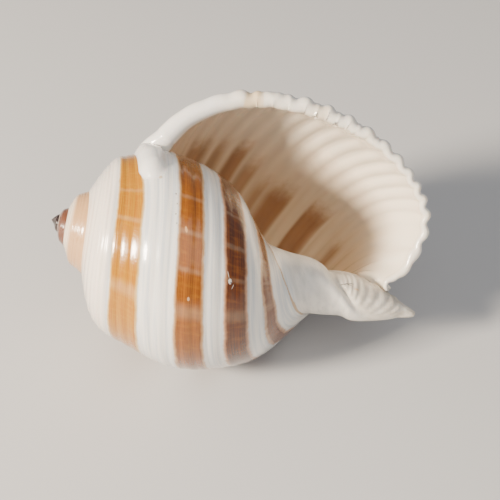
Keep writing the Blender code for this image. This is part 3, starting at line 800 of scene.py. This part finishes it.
def makeShellMaterial():
    look = shellLook
    material = bpy.data.materials.new("glossyShell")
    material.use_nodes = True
    material.node_tree.nodes.clear()
    g = Graph(material.node_tree)
    band = makeBandGroup()
    spot = makeSpotGroup()

    def uvOf(name):
        node = g.node("ShaderNodeSeparateXYZ")
        g.tree.links.new(g.node("ShaderNodeUVMap", uv_map=name).outputs[0], node.inputs[0])
        return node.outputs[0], node.outputs[1]

    def c(rgb):
        return screenColour(*rgb)

    turns, place = uvOf("growth")
    side, callus = uvOf("side")
    degrees = g.times(turns, 360.0)
    onRim = g.times(g.smooth(side, 0.0, 0.15), g.smooth(side, 0.85, 1.0, 1.0, 0.0))
    inside = g.smooth(side, 0.8, 1.0)
    lasting = g.smooth(degrees, -7.0, 0.5, 1.0, 0.0)
    onBody = g.smooth(degrees, -480.0, -430.0)

    # the place, a little uneven, so that no band has a ruled edge
    slow = g.times(g.math("SUBTRACT", g.noise(turns, place, 14.0, 0.8, 1.0), 0.5), 0.16)
    quick = g.times(g.math("SUBTRACT", g.noise(turns, place, 90.0, 7.0, 2.0), 0.5), 0.06)
    uneven = g.math("ADD", g.math("ADD", place, slow), quick)

    # streaks that run along the growth, wide and fine, and lines across it
    wideStreak = g.smooth(g.noise(turns, place, 5.0, 9.0, 4.0), 0.38, 0.64)
    fineStreak = g.smooth(g.noise(turns, place, 9.0, 42.0, 5.0, 4.0), 0.36, 0.66)
    cross = g.smooth(g.noise(turns, place, 160.0, 2.2, 6.0, 3.0), 0.45, 0.72)
    cloudy = g.smooth(g.noise(turns, place, 9.0, 3.4, 7.0, 3.0), 0.35, 0.7)

    base = g.mix(g.times(wideStreak, 0.75), c(look["white"]), c(look["whiteStreak"]))
    upper = g.smooth(place, 2.1, 2.55, 1.0, 0.0)
    upperColour = g.mix(g.times(wideStreak, 0.35), c(look["upperWhorl"][0]), c(look["upperWhorl"][1]))
    base = g.mix(upper, base, upperColour)
    shown = g.times(lasting, onBody, g.smooth(callus, 0.2, 0.7, 1.0, 0.0))
    # painted shade: thin greyish lines in some of the grooves between the ribs, where the grooves fall into
    # shade
    firstGroove = shell["ribCentre"] - 0.5 * shell["ribPitch"]
    groove = g.math("DIVIDE", g.math("SUBTRACT", place, firstGroove), shell["ribPitch"])
    groove = g.math("FRACT", groove)
    groove = g.group(band, groove, 0.5, 0.44, 0.1)
    grooveShadeMask = g.smooth(g.noise(turns, place, 7.0, 1.6, 12.0, 3.0), 0.42, 0.72)
    grooveShadeMask = g.times(g.math("SUBTRACT", 1.0, groove), grooveShadeMask)
    base = g.mix(g.times(grooveShadeMask, shown, 0.4), base, c(look["grooveShade"]))
    growthPale = 0.0
    for at, half, strength in look["growthLines"]:
        line = g.group(band, g.math("ADD", degrees, g.times(quick, 22.0)), at, half, half * 0.8)
        growthPale = g.math("MAXIMUM", growthPale, g.times(line, strength))
    for centre, half, main, streak, edge, soft in look["bands"]:
        around = g.group(band, uneven, centre, half + look["bandEdge"], soft)
        core = g.group(band, uneven, centre, half, soft * 1.2)
        own = g.mix(g.times(fineStreak, 0.75), c(main), c(streak))
        own = g.mix(g.times(cross, 0.16), own, c(edge))
        own = g.mix(growthPale, own, c(look["growthLine"]))
        base = g.mix(g.times(around, g.times(shown, 0.8)), base, c(edge))
        base = g.mix(g.times(core, shown), base, own)

    # the neck and the fasciole, with the thin ochre line above them
    neck = g.smooth(place, 8.4, 8.8)
    neckColour = g.mix(g.times(cloudy, 0.8), c(look["neck"][0]), c(look["neck"][1]))
    base = g.mix(neck, base, neckColour)
    foldStart, foldMove = shell["foldPlace"]
    fold = g.smooth(degrees, *shell["foldAngles"], foldStart, foldStart + foldMove)
    lowNeck = g.smooth(g.math("SUBTRACT", place, fold), -0.1, 0.2)
    foldColour = g.mix(g.times(cloudy, 0.9), c(look["fasciole"][0]), c(look["fasciole"][1]))
    base = g.mix(lowNeck, base, foldColour)
    linePlace = g.smooth(degrees, -330.0, -225.0, 8.1, 8.45)
    lineWidth = g.smooth(degrees, -262.0, -232.0, 0.035, 0.085)
    line = g.group(band, uneven, linePlace, lineWidth, 0.03)
    base = g.mix(g.times(line, shown, 0.75), base, c(look["ochreLine"]))
    speck = g.smooth(g.noise(turns, place, 230.0, 26.0, 8.0, 1.0), 0.70, 0.76)
    base = g.mix(g.times(speck, neck, 0.7), base, c(look["speck"]))

    # the spire
    lower = g.smooth(place, 0.5, 1.6)
    spire = g.mix(lower, c(look["penultimate"][0]), c(look["penultimate"][1]))
    brown = g.smooth(degrees, -835.0, -790.0, 1.0, 0.0)
    apex = g.smooth(degrees, -1195.0, -1150.0, 1.0, 0.0)
    brownColour = g.mix(g.times(cloudy, 0.5), c(look["brownWhorl"][0]), c(look["brownWhorl"][1]))
    spire = g.mix(brown, spire, brownColour)
    spire = g.mix(apex, spire, c(look["apex"]))
    paleSuture = g.times(g.smooth(place, 0.1, 0.3, 1.0, 0.0), g.smooth(degrees, -1120.0, -1080.0))
    spire = g.mix(g.times(paleSuture, 0.7), spire, c(look["paleSuture"]))
    base = g.mix(g.math("SUBTRACT", 1.0, onBody), base, spire)

    # callus, rim and inside
    base = g.mix(g.smooth(callus, 0.1, 0.6), base, c(look["callus"]))
    stain = g.smooth(g.noise(turns, place, 30.0, 1.7, 9.0), 0.5, 0.75)
    rimColour = g.mix(g.times(stain, 0.6), c(look["rim"][0]), c(look["rim"][1]))
    rimColour = g.mix(g.smooth(place, 1.3, 1.9, 1.0, 0.0), rimColour, c(look["callus"]))
    base = g.mix(onRim, base, rimColour)
    # cream at the lip to tan deeper in: partly the inside's own tone, partly painted shade deep in the mouth
    depth = g.smooth(degrees, -70.0, -14.0, 1.0, 0.0)
    insideWithDeepShade = g.mix(depth, c(look["inside"][0]), c(look["inside"][1]))
    for centre, half, ends, strength in look["stripes"]:
        own = g.group(band, g.math("ADD", place, g.times(slow, 0.7)), centre, half, 0.1)
        started = g.math("ADD", degrees, g.times(quick, 120.0))
        started = g.smooth(started, ends - 12.0, ends + 3.0, strength, 0.0)
        insideWithDeepShade = g.mix(g.times(own, started, 0.85), insideWithDeepShade, c(look["stripe"]))
    base = g.mix(inside, base, insideWithDeepShade)

    # small marks and the pits that they leave
    pits = 0.0
    for at, where, length, width, slant, colour, strength in look["marks"]:
        own = g.times(g.group(spot, degrees, place, at, where, length, width, slant), strength)
        own = g.times(own, g.math("SUBTRACT", 1.0, inside))
        base = g.mix(own, base, c(colour))
        if sum(colour) < 400:  # the dark marks are holes
            pits = g.math("MAXIMUM", pits, own)

    # relief too fine to model
    threads = g.noise(turns, place, 6.0, 55.0, 10.0, 3.0)
    lines = g.noise(turns, place, 420.0, 3.0, 11.0, 2.0)
    height = g.math("ADD", g.times(threads, 0.5), g.times(lines, 0.45))
    height = g.math("ADD", height, g.times(growthPale, -0.8))
    height = g.math("ADD", height, g.times(pits, -2.5))
    height = g.math("ADD", height, g.times(cloudy, neck, 0.8))
    bump = g.node("ShaderNodeBump")
    bump.inputs["Strength"].default_value = 0.6
    bump.inputs["Distance"].default_value = 0.00012
    g.put(bump.inputs["Height"], height)

    worn = g.times(neck, g.math("SUBTRACT", 1.0, inside))
    roughness = g.math("ADD", g.times(worn, 0.2), g.smooth(cloudy, 0.0, 1.0, 0.17, 0.25))
    shader = g.node("ShaderNodeBsdfPrincipled")
    g.put(shader.inputs["Base Color"], base)
    g.put(shader.inputs["Roughness"], roughness)
    g.put(shader.inputs["Coat Weight"], g.math("SUBTRACT", 0.7, g.times(worn, 0.6)))
    g.put(shader.inputs["Normal"], bump.outputs[0])
    shader.inputs["Coat Roughness"].default_value = 0.1
    shader.inputs["IOR"].default_value = 1.45
    shader.inputs["Subsurface Weight"].default_value = 0.12
    shader.inputs["Subsurface Radius"].default_value = (1.0, 0.6, 0.4)
    shader.inputs["Subsurface Scale"].default_value = 0.0012
    out = g.node("ShaderNodeOutputMaterial")
    g.tree.links.new(shader.outputs[0], out.inputs[0])
    return material


shellPiece.data.materials.append(makeShellMaterial())
print("material made")
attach(shellPiece, "root")
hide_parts("shell")

stage = {
    "floor": (0.55, 0.55, 0.55),
    "floorSize": 3.0,
    "aim": (0, 0, 0.03),  # the lights point here
    # where, side of the light in metres, watts, colour
    "lights": {
        "window": ((-0.64, -0.44, 0.44), 0.18, 26.0, (1.0, 0.87, 0.71)),
        "fill": ((0.3, -0.5, 0.8), 0.9, 3.6, (1.0, 0.97, 0.93)),
    },
    "surround": ((0.92, 0.94, 1.0, 1), 0.35),
    "cameraLens": 72,
    "cameraAt": (0.022142, -0.188398, 0.206156),
    "cameraTurn": (47.0722, -0.0655, 6.1877),
}


def makeFloor():
    bpy.ops.mesh.primitive_plane_add(size=stage["floorSize"], location=(0, 0, -0.0002))
    floor = bpy.context.object
    floor.name = "floor"
    material = bpy.data.materials.new("paleFloor")
    material.use_nodes = True
    shader = material.node_tree.nodes["Principled BSDF"]
    shader.inputs["Base Color"].default_value = (*stage["floor"], 1)
    shader.inputs["Roughness"].default_value = 0.9
    floor.data.materials.append(material)


def makeLights():
    for name, (location, side, power, color) in stage["lights"].items():
        data = bpy.data.lights.new(name, "AREA")
        data.shape = "RECTANGLE"
        data.size = data.size_y = side
        data.energy = power
        data.color = color
        light = bpy.data.objects.new(name, data)
        light.location = location
        bpy.context.scene.collection.objects.link(light)
        away = np.array(location) - np.array(stage["aim"])
        tilt = math.acos(away[2] / np.linalg.norm(away))
        light.rotation_euler = (tilt, 0, math.atan2(away[0], -away[1]))
    world = bpy.data.worlds.new("studio")
    world.use_nodes = True
    background = world.node_tree.nodes["Background"]
    background.inputs[0].default_value, background.inputs[1].default_value = stage["surround"]
    bpy.context.scene.world = world


def makeCamera():
    data = bpy.data.cameras.new("camera")
    data.lens = stage["cameraLens"]
    data.sensor_width = 36
    data.clip_start = 0.01
    camera = bpy.data.objects.new("camera", data)
    camera.location = stage["cameraAt"]
    camera.rotation_euler = [math.radians(angle) for angle in stage["cameraTurn"]]
    bpy.context.scene.collection.objects.link(camera)
    bpy.context.scene.camera = camera


makeFloor()
makeLights()
makeCamera()
print("floor, lights and camera placed")
